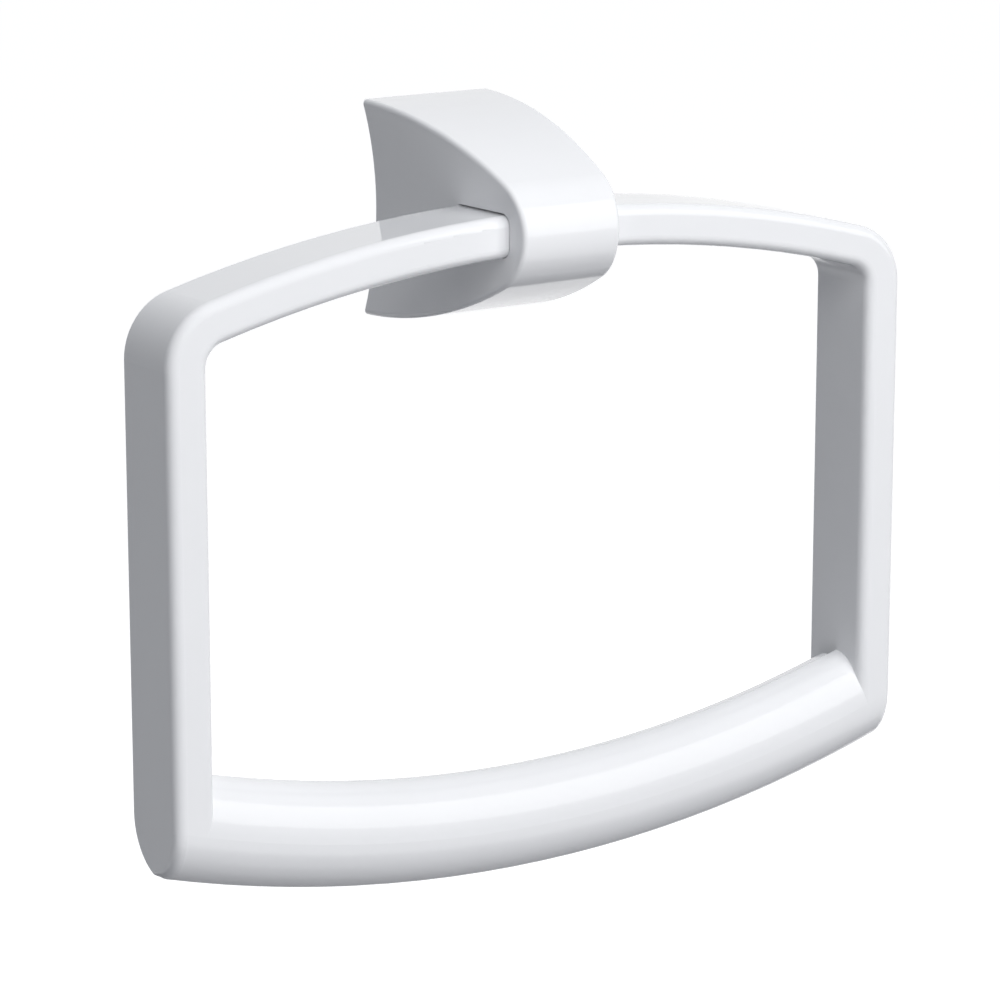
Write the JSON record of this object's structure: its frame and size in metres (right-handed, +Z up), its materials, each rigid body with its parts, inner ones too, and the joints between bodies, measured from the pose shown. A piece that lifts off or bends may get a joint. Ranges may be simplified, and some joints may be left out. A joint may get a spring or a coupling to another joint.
{
  "type": "towel ring",
  "caption": "White plastic towel ring: a wide, gently arched rectangular ring with an oval bottom bar, held by its top bar in a D-shaped wall holder.",
  "frame": {"origin": "middle of the holder's face on the wall", "axes": "+Z up, +X to the right seen from the front, -Y out of the wall towards the user; the wall is the plane Y=0"},
  "size_m": [0.22, 0.0648, 0.1924],
  "materials": {
    "white_plastic": "gloss",
    "inner_plastic": "matte",
    "screw_steel": "satin"
  },
  "bodies": {
    "root": {"ring_frame": "white_plastic", "bar_rear_cover": "white_plastic", "holder_shell": "white_plastic", "ring_retainer": "inner_plastic", "retainer_screws": "screw_steel", "wall_plate": "inner_plastic", "set_screw": "screw_steel"}
  },
  "joints": []
}
